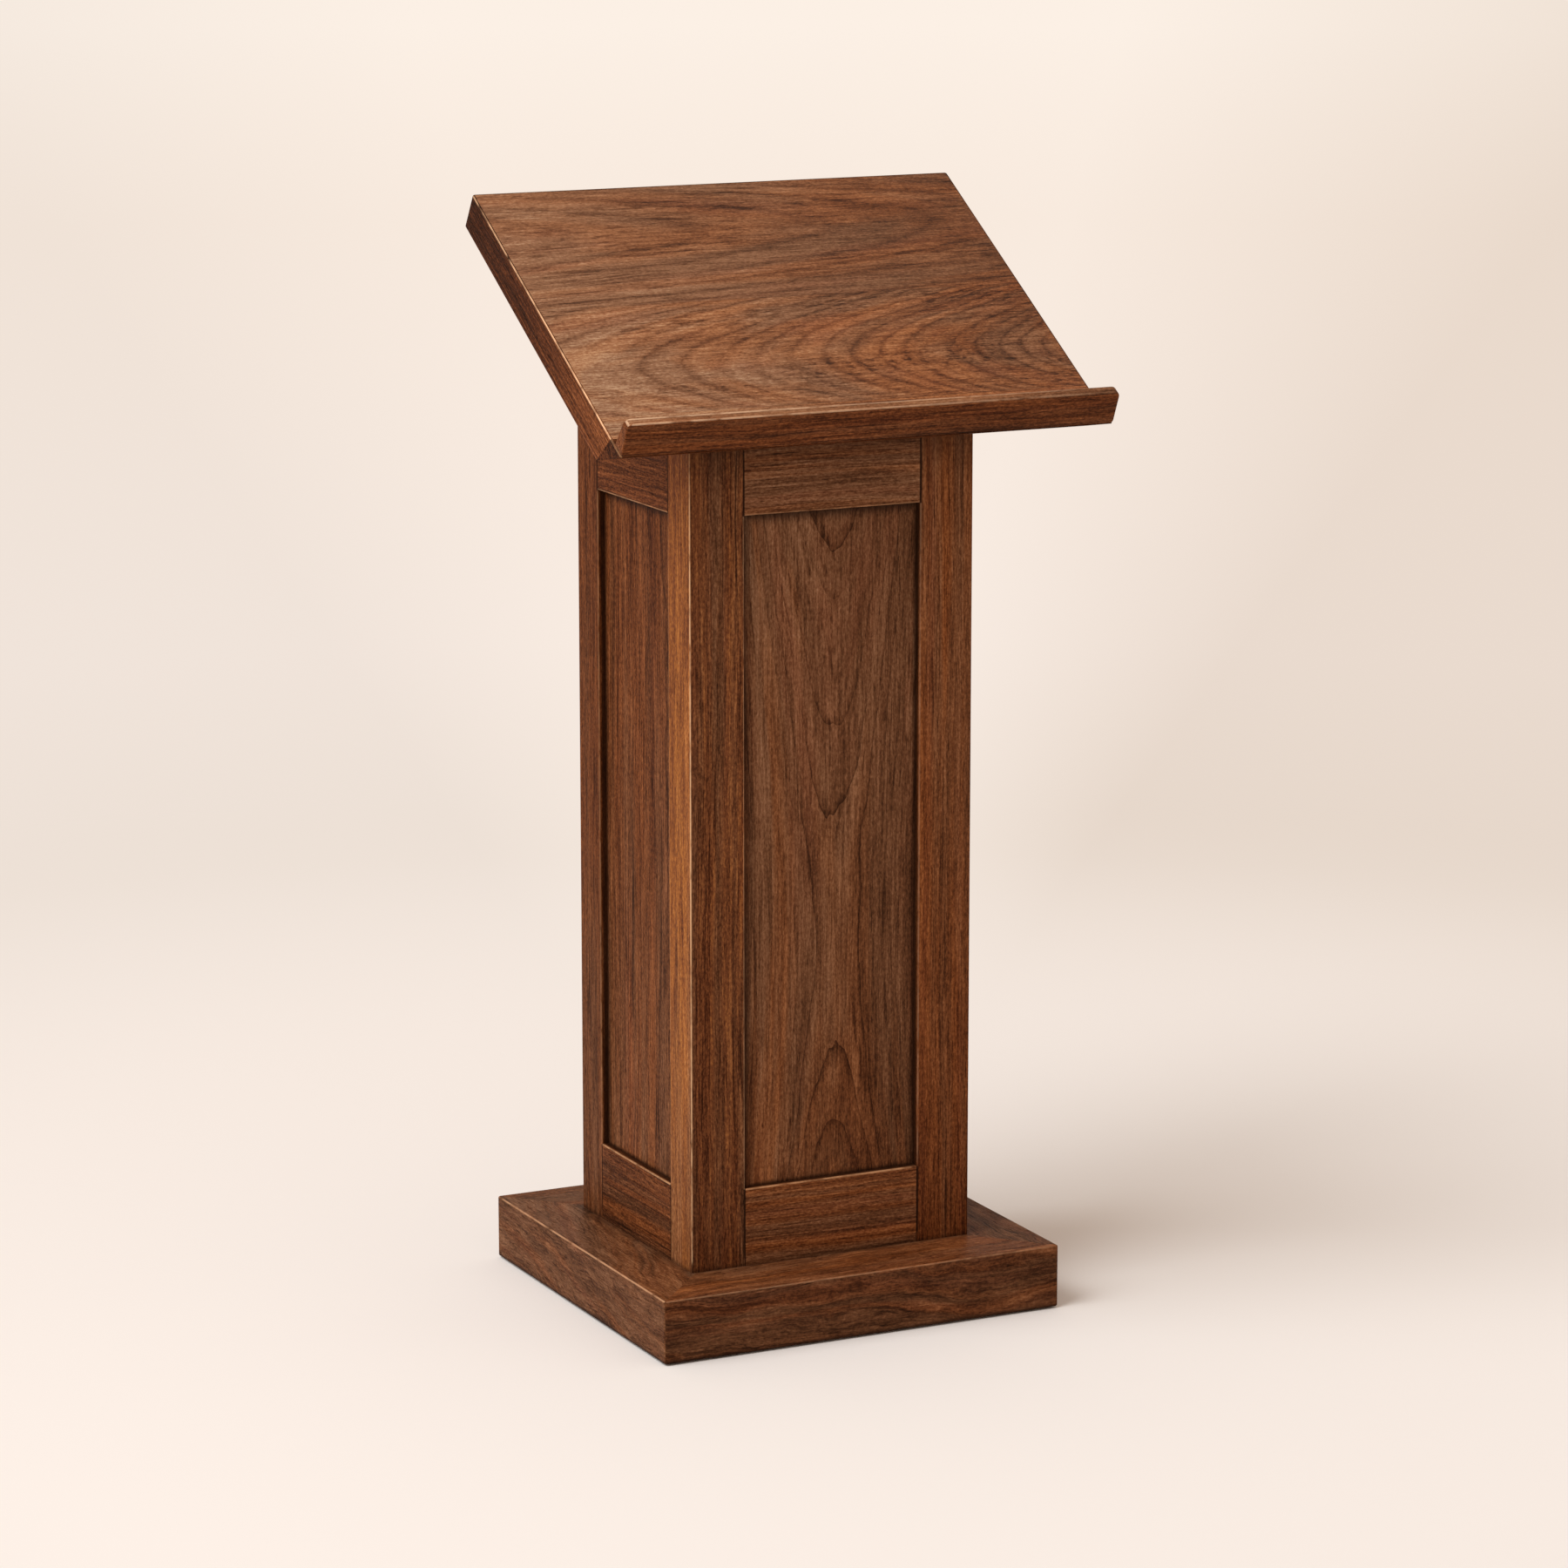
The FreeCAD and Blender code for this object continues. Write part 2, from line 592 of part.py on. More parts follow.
def make_foot_cleats(plinth_screws, cleat_screws):
    """Four cleats at the column's foot; returns the holes that the plinth beams and the rails need."""
    plinth_holes, rail_holes = {}, {}
    for face, axis, side in FACES:
        half = face_half(axis)
        line = f"{side} * ({half} - {CLEAT_MIDDLE})"
        back = f"{side} * ({half} - rail_thickness - cleat_width)"
        plinth_holes[face] = []
        for end in (-1, 1):
            spot = turned(axis, f"{end} * plinth_screw_spacing / 2", line, "0")[:2]
            hole = plinth_screws.add(*spot, "glide_height + plinth_screw_sink")
            plinth_holes[face].append((hole, spot))
        rail_holes[face, "foot"] = cleat_screw_pair(cleat_screws, axis, side, back,
                                                    [f"{BASE_TOP} + foot_cleat_height / 2"] * 2)
        cleat = board(f"{face}_foot_cleat_blank",
                      *turned(axis, centred(f"{opening_half(axis)} - cleat_end_room"),
                              inset(half, side, "rail_thickness", "rail_thickness + cleat_width"),
                              (BASE_TOP, f"{BASE_TOP} + foot_cleat_height")))
        holes = [hole for hole, spot in plinth_holes[face]] + rail_holes[face, "foot"]
        subpart(cut(f"{face}_foot_cleat", cleat, holes), f"{face}_foot_cleat")
    return plinth_holes, rail_holes


def cleat_screw_pair(cleat_screws, axis, side, back, levels):
    """Two screws from the back of a cleat, pointing outwards into its rail."""
    if axis == "x":
        rotation = Rotation(Vector(1, 0, 0), 90 if side < 0 else -90)
    else:
        rotation = Rotation(Vector(0, 1, 0), -90 if side < 0 else 90)
    holes = []
    for end, level in zip((-1, 1), levels):
        x, y = turned(axis, f"{end} * cleat_screw_spacing / 2", back, "0")[:2]
        holes.append(cleat_screws.add(x, y, level, rotation))
    return holes


def make_desk_cleats(desk_screws, cleat_screws, rail_holes):
    """Two sloping cleats between the posts; returns the desk's screw holes in the desk's own frame."""
    run = "(column_depth - 2 * post_depth - 2 * cleat_end_room)"
    thickness = "(desk_cleat_height * cos(desk_tilt))"
    desk_holes = []
    for face, axis, side in FACES[2:]:
        line = f"{side} * ({HALF_WIDTH} - {CLEAT_MIDDLE})"
        holes = [desk_screws.add(line, f"{HALF_DEPTH} / cos(desk_tilt) + {end} * desk_screw_spacing / 2",
                                 f"-{thickness}") for end in (-1, 1)]
        desk_holes += holes
        middle = f"{FRONT_TOP} + {HALF_DEPTH} * {SLOPE} - desk_cleat_height / 2"
        levels = [f"{middle} + {end} * cleat_screw_spacing / 2 * {SLOPE}" for end in (-1, 1)]
        back = f"{side} * ({HALF_WIDTH} - rail_thickness - cleat_width)"
        rail_holes[face, "desk"] = cleat_screw_pair(cleat_screws, axis, side, back, levels)
        cleat = prism(f"{face}_desk_cleat_blank", "YZ_Plane",
                      [("0", "0"), (run, f"{run} * {SLOPE}"), (run, f"{run} * {SLOPE} + desk_cleat_height"),
                       ("0", "desk_cleat_height")], "cleat_width")
        low_x = inset(HALF_WIDTH, side, "rail_thickness", "rail_thickness + cleat_width")[0]
        place(cleat, low_x, f"-{HALF_DEPTH} + post_depth + cleat_end_room",
              f"{FRONT_TOP} + (post_depth + cleat_end_room) * {SLOPE} - desk_cleat_height")
        sloped = lay_on_slope(group(f"{face}_desk_screw_holes", holes))
        subpart(cut(f"{face}_desk_cleat", cleat, [sloped] + rail_holes[face, "desk"]), f"{face}_desk_cleat")
    return desk_holes


# Desk, nosing and ledge, each drawn level with z = 0 on the desk's underside and y along the slope

def dowel_lines():
    return [f"({number - (DOWEL_COUNT - 1) / 2}) * dowel_spacing" for number in range(DOWEL_COUNT)]


def nosing_dowels(name, grow):
    """Dowels square to the desk's undercut front end."""
    lean = "atan(desk_undercut / desk_thickness)"
    drop_y = f"(nosing_dowel_drop * sin({lean}))"
    drop_z = f"(nosing_dowel_drop * cos({lean}))"
    before = f"(nosing_dowel_depth + {grow})"
    dowels = []
    for number, x in enumerate(dowel_lines(), 1):
        dowel = cylinder(f"{name}_{number}", f"nosing_dowel_diameter / 2 + {grow}",
                         f"{before} + desk_dowel_depth + {grow}", Rotation(Vector(-1, 0, 0), ANY_TURN))
        bind(dowel, {"Placement.Rotation.Angle": f"90 deg - {lean}"})
        place(dowel, x, f"{DESK_FRONT} + {drop_y} - {before} * cos({lean})",
              f"desk_thickness - {drop_z} - {before} * sin({lean})")
        dowels.append(dowel)
    return dowels


def ledge_dowels(name, grow):
    dowels = []
    for number, x in enumerate(dowel_lines(), 1):
        dowel = cylinder(f"{name}_{number}", f"ledge_dowel_diameter / 2 + {grow}",
                         f"ledge_dowel_foot + ledge_dowel_depth + 2 * {grow}")
        place(dowel, x, f"{DESK_FRONT} - ledge_gap - ledge_dowel_setback",
              f"desk_thickness - ledge_dowel_foot - {grow}")
        dowels.append(dowel)
    return dowels


def desk_splines(name, seams, grow):
    splines = []
    for number, seam in enumerate(seams, 1):
        run = (f"{seam} - desk_spline_width / 2", f"{seam} + desk_spline_width / 2")
        upright = ("(desk_thickness - desk_spline_thickness) / 2",
                   "(desk_thickness + desk_spline_thickness) / 2")
        splines.append(box(f"{name}_{number}", centred(f"{HALF_DESK} - desk_spline_stop + {grow}"),
                           widened(run, grow), widened(upright, grow)))
    return splines


def make_desk(desk_holes):
    blank = prism("desk_blank", "YZ_Plane", [("desk_undercut", "0"), ("desk_length", "0"),
                                             ("desk_length", "desk_thickness"), ("0", "desk_thickness")],
                  "desk_width")
    place(blank, f"-{HALF_DESK}", DESK_FRONT, "0")
    round_edges(blank, "desk_corner", ("y+", "x-"), ("y+", "x+"))
    round_edges(blank, "desk_arris", ("z+", "not y-"), ("z-",))

    first_seam = f"({DESK_FRONT} + front_board_width)"
    second_seam = f"({first_seam} + middle_board_width)"
    board_end = f"({HALF_DESK} - band_thickness)"
    board_rear = f"({DESK_REAR} - band_thickness)"
    full_height = ("0", "desk_thickness")
    spline_slots = desk_splines("desk_spline_slot", [first_seam, second_seam], "fit_play")
    subpart(lay_on_slope(group("desk_splines", desk_splines("desk_spline", [first_seam, second_seam], "0"))),
            "desk_splines")

    boards = [("front", (DESK_FRONT, first_seam)), ("middle", (first_seam, second_seam)),
              ("rear", (second_seam, board_rear))]
    holes = {"front": nosing_dowels("desk_dowel_hole", "fit_play") + spline_slots[:1],
             "middle": spline_slots + desk_holes, "rear": spline_slots[1:] + desk_holes}
    for name, run in boards:
        region = box(f"desk_{name}_region", centred(board_end), run, full_height)
        piece = cut(f"desk_{name}_board", common(f"desk_{name}_blank", blank, region), holes[name])
        subpart(lay_on_slope(piece), f"desk_{name}_board")

    bands = [("left", (f"-{HALF_DESK}", f"-{board_end}"), (DESK_FRONT, DESK_REAR)),
             ("right", (board_end, HALF_DESK), (DESK_FRONT, DESK_REAR)),
             ("rear", centred(board_end), (board_rear, DESK_REAR))]
    for name, across, run in bands:
        region = box(f"desk_{name}_band_region", across, run, full_height)
        subpart(lay_on_slope(common(f"desk_{name}_band", blank, region)), f"desk_{name}_band")


def make_nosing():
    """A three-cornered strip between the desk's undercut front end and the foot of the ledge."""
    depth = f"({LEDGE_REACH} + desk_undercut)"
    wedge = prism("nosing_wedge", "YZ_Plane",
                  [("0", "desk_thickness"), (depth, "0"), (LEDGE_REACH, "desk_thickness")], "desk_width")
    place(wedge, f"-{HALF_DESK}", f"{DESK_FRONT} - {LEDGE_REACH}", "0")
    plan = board("nosing_plan", centred(HALF_DESK),
                 (f"{DESK_FRONT} - {LEDGE_REACH}", f"{DESK_FRONT} + desk_undercut"), ("0", "desk_thickness"))
    round_edges(plan, "ledge_foot_corner", ("y-", "x-"), ("y-", "x+"))
    strip = common("nosing_strip", wedge, plan)
    holes = nosing_dowels("nosing_dowel_hole", "fit_play") + ledge_dowels("nosing_ledge_hole", "fit_play")
    subpart(lay_on_slope(cut("desk_nosing", strip, holes)), "desk_nosing")
    subpart(lay_on_slope(group("nosing_dowels", nosing_dowels("nosing_dowel", "0"))), "nosing_dowels")


def make_ledge():
    """A strip that stands on the nosing and thins towards its top."""
    blank = prism("ledge_blank", "YZ_Plane",
                  [("0", "0"), ("ledge_thickness", "0"),
                   ("ledge_thickness - ledge_taper", "ledge_height"), ("ledge_taper", "ledge_height")],
                  "desk_width")
    place(blank, f"-{HALF_DESK}", f"{DESK_FRONT} - {LEDGE_REACH}", "desk_thickness")
    round_edges(blank, "ledge_top_corner", ("z+", "x-"), ("z+", "x+"))
    round_edges(blank, "ledge_foot_corner", ("z-", "x-"), ("z-", "x+"))
    round_edges(blank, "ledge_arris", ("off y",))
    holes = ledge_dowels("ledge_dowel_hole", "fit_play")
    subpart(lay_on_slope(cut("book_ledge", blank, holes)), "book_ledge")
    subpart(lay_on_slope(group("ledge_dowels", ledge_dowels("ledge_dowel", "0"))), "ledge_dowels")


def check_document():
    """Stop before anything is written if an object failed or a piece has no sound solid."""
    failed = [thing.Name for thing in doc.Objects if {"Invalid", "Error"} & set(thing.State)]
    if failed:
        raise RuntimeError(f"objects failed: {failed}")
    for thing in subparts:
        if thing.Shape.isNull() or not thing.Shape.isValid() or not thing.Shape.Solids:
            raise RuntimeError(f"no sound solid in {thing.Label}")


def write_parts():
    os.makedirs("parts", exist_ok=True)
    for thing in subparts:
        thing.Shape.exportStep(f"parts/{thing.Label}.step")
        print(f"{thing.Label}: {len(thing.Shape.Solids)} solids, {thing.Shape.Volume / 1000:.1f} cm3")


def main():
    make_sheet()
    plinth_screws = Screws("plinth_screw", "plinth_screw_length")
    cleat_screws = Screws("cleat_screw", "cleat_screw_length")
    desk_screws = Screws("desk_screw", "desk_screw_length")
    plinth_holes, rail_holes = make_foot_cleats(plinth_screws, cleat_screws)
    desk_holes = make_desk_cleats(desk_screws, cleat_screws, rail_holes)
    make_plinth(plinth_holes)
    space = desk_space()
    make_posts(space)
    make_rails(space, rail_holes)
    make_panels()
    make_desk(desk_holes)
    make_nosing()
    make_ledge()
    subpart(group("plinth_screws", plinth_screws.solids), "plinth_screws")
    subpart(group("cleat_screws", cleat_screws.solids), "cleat_screws")
    subpart(lay_on_slope(group("desk_screws", desk_screws.solids)), "desk_screws")
    doc.recompute()
    check_document()
    write_parts()


main()
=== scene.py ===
import math
from dataclasses import dataclass

import bpy
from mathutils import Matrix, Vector

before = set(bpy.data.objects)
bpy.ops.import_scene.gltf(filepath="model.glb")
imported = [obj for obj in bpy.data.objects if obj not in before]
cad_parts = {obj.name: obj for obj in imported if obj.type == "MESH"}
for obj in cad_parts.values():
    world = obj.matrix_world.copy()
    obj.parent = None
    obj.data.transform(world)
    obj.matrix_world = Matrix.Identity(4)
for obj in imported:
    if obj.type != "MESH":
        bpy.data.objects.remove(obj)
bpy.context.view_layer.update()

# Directions
DESK_TILT = math.radians(31.5)
RIGHT = Vector((1, 0, 0))
BACK = Vector((0, 1, 0))
UP = Vector((0, 0, 1))
LEFT = -RIGHT
FRONT = -BACK
UPHILL = Vector((0, math.cos(DESK_TILT), math.sin(DESK_TILT)))
DESK_FACE = Vector((0, -math.sin(DESK_TILT), math.cos(DESK_TILT)))
HIGHLIGHT_FROM = Vector((-0.45, -0.45, 0.77))  # the side from which light falls on the edges, where their painted highlights are strongest

# Sizes of the part that the painted shades follow (metres)
COLUMN_HALF_WIDTH = 0.164
COLUMN_HALF_DEPTH = 0.140
PLINTH_TOP = 0.070
PANEL_LOW = 0.154
PANEL_HIGH = 0.870
PANEL_HALF_HEIGHT = (PANEL_HIGH - PANEL_LOW) / 2
FRONT_OPENING_HALF = 0.102
SIDE_OPENING_HALF = 0.088
MIDDLE_BOARD_HALF = 0.088
DESK_UNDERSIDE = Vector((0, -COLUMN_HALF_DEPTH, 0.960)).dot(DESK_FACE)
NOWHERE = 9.0  # past the end of every board


# Node helpers

class Field:
    """An output socket that takes part in plain arithmetic, where each step is one Math node."""

    def __init__(self, socket):
        self.socket = socket

    def math(self, operation, *others):
        return add(self.socket.id_data, "ShaderNodeMath", (self, *others), operation=operation)

    def __add__(self, other):
        return self.math("ADD", other)

    def __sub__(self, other):
        return self.math("SUBTRACT", other)

    def __rsub__(self, other):
        return add(self.socket.id_data, "ShaderNodeMath", (other, self), operation="SUBTRACT")

    def __mul__(self, other):
        return self.math("MULTIPLY", other)

    def __truediv__(self, other):
        return self.math("DIVIDE", other)

    def __pow__(self, other):
        return self.math("POWER", other)

    def __abs__(self):
        return self.math("ABSOLUTE")

    def larger(self, other):
        return self.math("MAXIMUM", other)

    def smaller(self, other):
        return self.math("MINIMUM", other)

    def smooth(self, low, high):
        """0 at low, 1 at high and a soft step between them, whichever of the two is larger."""
        inputs = {"Value": self, "From Min": low, "From Max": high}
        return add(self.socket.id_data, "ShaderNodeMapRange", inputs, interpolation_type="SMOOTHSTEP")

    def swing(self, amount):
        """A noise of 0 to 1, moved to swing round 0 by an amount."""
        return (self - 0.5) * amount


def add(tree, kind, inputs=(), output=0, **settings):
    """Adds a node, sets its properties and inputs, and returns one of its outputs."""
    made = tree.nodes.new(kind)
    for name, value in settings.items():
        setattr(made, name, value)
    pairs = inputs.items() if isinstance(inputs, dict) else enumerate(inputs)
    for key, value in pairs:
        if isinstance(value, Field):
            tree.links.new(value.socket, made.inputs[key])
        else:
            made.inputs[key].default_value = value
    return Field(made.outputs[output])


def combine(tree, x, y, z):
    return add(tree, "ShaderNodeCombineXYZ", (x, y, z))


def split(tree, vector):
    parts = add(tree, "ShaderNodeSeparateXYZ", (vector,)).socket.node.outputs
    return [Field(part) for part in parts]


def scaled(tree, vector, times):
    return add(tree, "ShaderNodeVectorMath", {0: vector, "Scale": times}, operation="SCALE")


def along_axis(tree, vector, axis):
    return add(tree, "ShaderNodeVectorMath", (vector, axis), output="Value", operation="DOT_PRODUCT")


def noise(tree, vector, detail=2.0, roughness=0.5, output="Fac"):
    inputs = {"Vector": vector, "Scale": 1.0, "Detail": detail, "Roughness": roughness}
    return add(tree, "ShaderNodeTexNoise", inputs, output=output)


def noise_along(tree, position, detail=2.0, roughness=0.5):
    """Noise along one line."""
    inputs = {"W": position, "Scale": 1.0, "Detail": detail, "Roughness": roughness}
    return add(tree, "ShaderNodeTexNoise", inputs, output="Fac", noise_dimensions="1D")


# The Mix node's sockets that a colour uses
MIX_FACTOR, MIX_FIRST, MIX_SECOND, MIX_RESULT = 0, 6, 7, 2


def mix(tree, factor, first, second, blend="MIX"):
    inputs = {MIX_FACTOR: factor, MIX_FIRST: first, MIX_SECOND: second}
    return add(tree, "ShaderNodeMix", inputs, output=MIX_RESULT, data_type="RGBA", blend_type=blend)


def colour(code):
    """The linear colour of a written six-digit one."""
    parts = [int(code[i:i + 2], 16) / 255 for i in (0, 2, 4)]
    linear = [p / 12.92 if p <= 0.04045 else ((p + 0.055) / 1.055) ** 2.4 for p in parts]
    return (*linear, 1.0)


def ramp(tree, factor, stops):
    made = add(tree, "ShaderNodeValToRGB", (factor,))
    elements = made.socket.node.color_ramp.elements
    while len(elements) < len(stops):
        elements.new(1.0)
    for element, (position, code) in zip(elements, stops):
        element.position = position
        element.color = colour(code)
    return made


def new_material(name):
    """A material with its node tree and its shader."""
    material = bpy.data.materials.new(name)
    material.use_nodes = True
    return material, material.node_tree, material.node_tree.nodes["Principled BSDF"]


def plug(shader, **values):
    """Links fields to a shader's inputs, where an underscore stands for a space."""
    for name, value in values.items():
        shader.id_data.links.new(value.socket, shader.inputs[name.replace("_", " ")])


def bump(tree, height, strength, distance):
    return add(tree, "ShaderNodeBump", {"Strength": strength, "Distance": distance, "Height": height})


# Wood: growth rings round a pith that leans through the board, fibres along it and pores among them

GRAIN_INPUTS = ("Seed", "Pith across", "Pith depth", "Lean", "Bow", "Drift", "Wave", "Curl", "Ring", "Soft", "Figure",
                "Cloud", "Fine")
GRAIN_OUTPUTS = ("Shade", "Tint", "Blush", "Pores", "Height")
SEED_STEP = 7.3  # metres of wood between one seed and the next
MIDDLE_SHADE = 0.55


def make_grain():
    """The node group that every board shares. The numbers given to its noises are waves per metre."""
    tree = bpy.data.node_groups.new("Grain", "ShaderNodeTree")
    tree.interface.new_socket("Point", in_out="INPUT", socket_type="NodeSocketVector")
    for name in GRAIN_INPUTS:
        tree.interface.new_socket(name, in_out="INPUT", socket_type="NodeSocketFloat")
    for name in GRAIN_OUTPUTS:
        tree.interface.new_socket(name, in_out="OUTPUT", socket_type="NodeSocketFloat")
    given = tree.nodes.new("NodeGroupInput").outputs
    (seed, pith_across, pith_depth, lean, bow, drift, wave, curl, ring, soft, figure, cloudy,
     fine) = [Field(given[name]) for name in GRAIN_INPUTS]
    length, across, depth = split(tree, Field(given["Point"]))
    far = length + seed * SEED_STEP

    def straight(along, over):
        return combine(tree, far * along, across * over, depth * over)

    # Slow bends of the whole tree, and quicker ripples of its fibres
    bend = split(tree, noise(tree, straight(along=2.6, over=7), detail=2, output="Color"))
    ripple = split(tree, noise(tree, straight(along=16, over=45), detail=2, output="Color"))
    bent_across = across + bend[0].swing(wave) + ripple[0].swing(curl)
    bent_depth = depth + bend[1].swing(wave) + ripple[1].swing(curl)

    to_pith_across = bent_across - pith_across - drift * length
    to_pith_depth = bent_depth - pith_depth - lean * length - bow * length * length
    radius = (to_pith_across * to_pith_across + to_pith_depth * to_pith_depth).math("SQRT")

    def bent(along, over):
        return combine(tree, far * along, bent_across * over, bent_depth * over)

    def on_rings(along, over, around):
        return combine(tree, far * along, radius * over, bent_across * around)

    # Broad bands and dark late-wood lines follow the rings. A line varies from ring to ring and breaks off along it
    band = noise_along(tree, radius * 85 + seed * 3.1, detail=3, roughness=0.62)
    slow_wobble = noise(tree, on_rings(along=5, over=40, around=8)) * 0.9
    quick_wobble = noise(tree, straight(along=28, over=70)) * 0.28
    turn = radius / ring + slow_wobble + quick_wobble
    number = turn.math("FLOOR")
    strength = noise_along(tree, number * 1.37 + seed, detail=0).smooth(0.25, 0.65)
    broken = noise(tree, combine(tree, far * 7, number * 3.7, seed), detail=1).smooth(0.3, 0.5)
    across_ring = turn.math("FRACT")
    crisp_line = across_ring ** 16 + across_ring ** 4 * 0.3
    soft_band = (1 - abs(across_ring * 2 - 1)) ** 3
    steady = strength + (1 - strength) * soft * 0.7
    line = (crisp_line + (soft_band - crisp_line) * soft) * steady * broken

    # Streaks and hairlines run along the rings, clouds, fibres, flecks and pores along the board
    wide = noise(tree, on_rings(along=2.5, over=60, around=10))
    streak = noise(tree, on_rings(along=5, over=230, around=50), roughness=0.65)
    cluster = noise(tree, straight(along=4, over=30)).smooth(0.35, 0.65)
    hair = noise(tree, on_rings(along=9, over=480, around=190), detail=1).smooth(0.54, 0.66) * cluster
    cloud = noise(tree, bent(along=17, over=65), detail=3)
    fibre = noise(tree, bent(along=12, over=380), roughness=0.65)
    fleck = noise(tree, bent(along=240, over=520), roughness=0.65)
    pores = noise(tree, straight(along=70, over=1400), detail=0).smooth(0.6, 0.72)
    tint, blush, _ = split(tree, noise(tree, on_rings(along=1.6, over=70, around=18), detail=3, output="Color"))

    slow = (band.swing(0.2) + wide.swing(0.22) - line * 0.22) * figure + cloud.swing(cloudy)
    quick = streak.swing(0.36) + fibre.swing(0.62) + fleck.swing(0.7) - hair * 0.2 - pores * 0.16
    shade = slow + quick * fine + MIDDLE_SHADE
    height = fibre * 0.4 + fleck * 0.3 - pores * 0.8 - hair * 0.5 - line * 0.2

    results = tree.nodes.new("NodeGroupOutput").inputs
    for name, value in zip(GRAIN_OUTPUTS, (shade, tint, blush, pores, height)):
        tree.links.new(value.socket, results[name])
    return tree


GRAIN = make_grain()

# Colours from the darkest wood to the lightest
WALNUT_WARM = ((0.0, "1f0c04"), (0.28, "4b2510"), (0.5, "784323"), (0.74, "a5673c"), (1.0, "cf9666"))
WALNUT_GOLD = ((0.0, "1f0c05"), (0.28, "4b2512"), (0.5, "774325"), (0.6, "8c5327"), (0.74, "a86831"),
               (1.0, "d29956"))
WALNUT_COOL = ((0.0, "1b0f08"), (0.28, "422717"), (0.5, "67422b"), (0.74, "8d6347"), (1.0, "b59071"))
WALNUT_RED = ((0.0, "1d0b07"), (0.28, "482115"), (0.5, "733b25"), (0.74, "9f5d3d"), (1.0, "c98d67"))
BEECH = ((0.0, "8a5a36"), (0.4, "b98a5e"), (0.7, "d3a878"), (1.0, "e3c39a"))
PINE = ((0.0, "9a6a34"), (0.4, "cfa56a"), (0.7, "e2c088"), (1.0, "efd6a8"))

# Painted highlights along the edges, where light catches their roundings. The pairs say where a soft step begins and
# where it is whole
HIGHLIGHT = "f0c8a4"
HIGHLIGHT_DULL = "d8a478"
# Breaks along the painted edge highlights
HIGHLIGHT_BREAK_SCALE = 55.0
HIGHLIGHT_BREAKS = (0.2, 0.6)
FACING_LIGHT = (0.05, 0.5)  # of how far an edge looks towards the light
EDGE_LINE = (1.15, 0.7)  # in widths of the edge
END_ROUNDING = (0.44, 0.495)  # of the product of two cosines, which is 0.5 in the middle of a rounding
SHOW_HALF = (-0.0002, 0.0002)  # of the depth

# Shades that are painted on: where their soft steps lie, and how strong each one is
SHADE = colour("1d0f09")
SEAM_LINE = (0.0014, 0.0005)  # before the seam
GLUE_LINE = (0.0012, 0.0002)
RECESS_LINE = (0.0015, 0.0045)  # below the column's faces
FLOOR_LINE = (0.0075, 0.003)  # above the floor
FOOT_SHADE = 0.006  # above the plinth
FOOT_CLEAR = 0.014
JOINT_END = 0.001
CORNER_CLEAR = (0.01, 0.02)
SEAM_STRENGTH = 0.85
GLUE_STRENGTH = 0.35
RECESS_STRENGTH = 0.8
DESK_STRENGTH = 0.62
FOOT_STRENGTH = 0.5
FLOOR_STRENGTH = 0.75

# The cosine from which a surface begins to count, and fully counts, as a side or an end of its board
TURNED = (0.5, 0.9)

# How the grain's tint and blush colour the wood
TINTED = (0.3, 0.7)
TINT_STRENGTH = 0.9
BLUSHED = (0.48, 0.72)
BLUSH_STRENGTH = 0.24


@dataclass
class Board:
    """How a board was sawn and coloured, and where highlights and shade are painted on it. Places are in metres from
    its middle.
    """
    along: Vector  # the grain's direction
    face: Vector  # the show face's direction; across is along x face
    seed: float

    # The pith's place (across, depth), its lean, bow and sideways drift along the board, and the rings round it
    pith: tuple = (0.22, -0.12)
    lean: float = 0.0
    bow: float = 0.0
    drift: float = 0.0
    wave: float = 0.012
    curl: float = 0.002
    ring: float = 0.0085
    soft: float = 0.0  # 0 for crisp ring lines, 1 for soft bands
    figure: float = 0.8  # strength of the rings
    cloud: float = 0.0  # strength of the clouds
    fine: float = 1.0  # strength of fibres, flecks and pores

    # Lightness and warmth: overall, per metre along (fade) and across (lift), and what the sides and ends add
    tone: float = 0.0
    fade: float = 0.0
    lift: float = 0.0
    warmth: float = 0.0
    warm_fade: float = 0.0
    warm_lift: float = 0.0
    side_tone: float = 0.0
    side_fade: float = 0.0
    side_warmth: float = 0.0
    side_warm_fade: float = 0.0
    end_tone: float = -0.1
    warm: tuple = WALNUT_WARM
    cool: tuple = WALNUT_COOL
    red: tuple = WALNUT_RED
    gloss: float = 0.025

    # Painted edge highlights: their width, how many times wider they are away from the show face, and how strong they
    # are
    edge: float = 0.0016
    far_edge: float = 1.0
    taper: float = 0.0  # how the show face leans back, per metre from the side that across points to
    wear: float = 0.5
    wear_fade: float = 0.0
    low_wear: float = 0.0  # share of the painted highlight on edges that face away from the light
    worn: str = HIGHLIGHT
    worn_sides: bool = True
    worn_ends: bool = False
    outer_only: bool = False  # only the show face's edges get the painted highlight

    # Dark joint lines, and painted shade
    seam_along: float = NOWHERE
    seam_across: float = NOWHERE
    in_column: bool = False  # painted shade in the recesses, under the desk and at the foot
    desk_shade: float = 0.040
    contact: float = 0.0  # reach of the column's painted shade on the plinth; it also turns on a painted shade along the board's foot by the floor
    beside_rails: bool = False  # joint lines instead of painted edge highlights where rails meet a post
    border: tuple = ()  # half sizes (along, across) of a panel's visible part
    border_shade: tuple = (0.010, 0.006, 0.005, 0.013)  # reach of the painted shade from its left, right, bottom and top
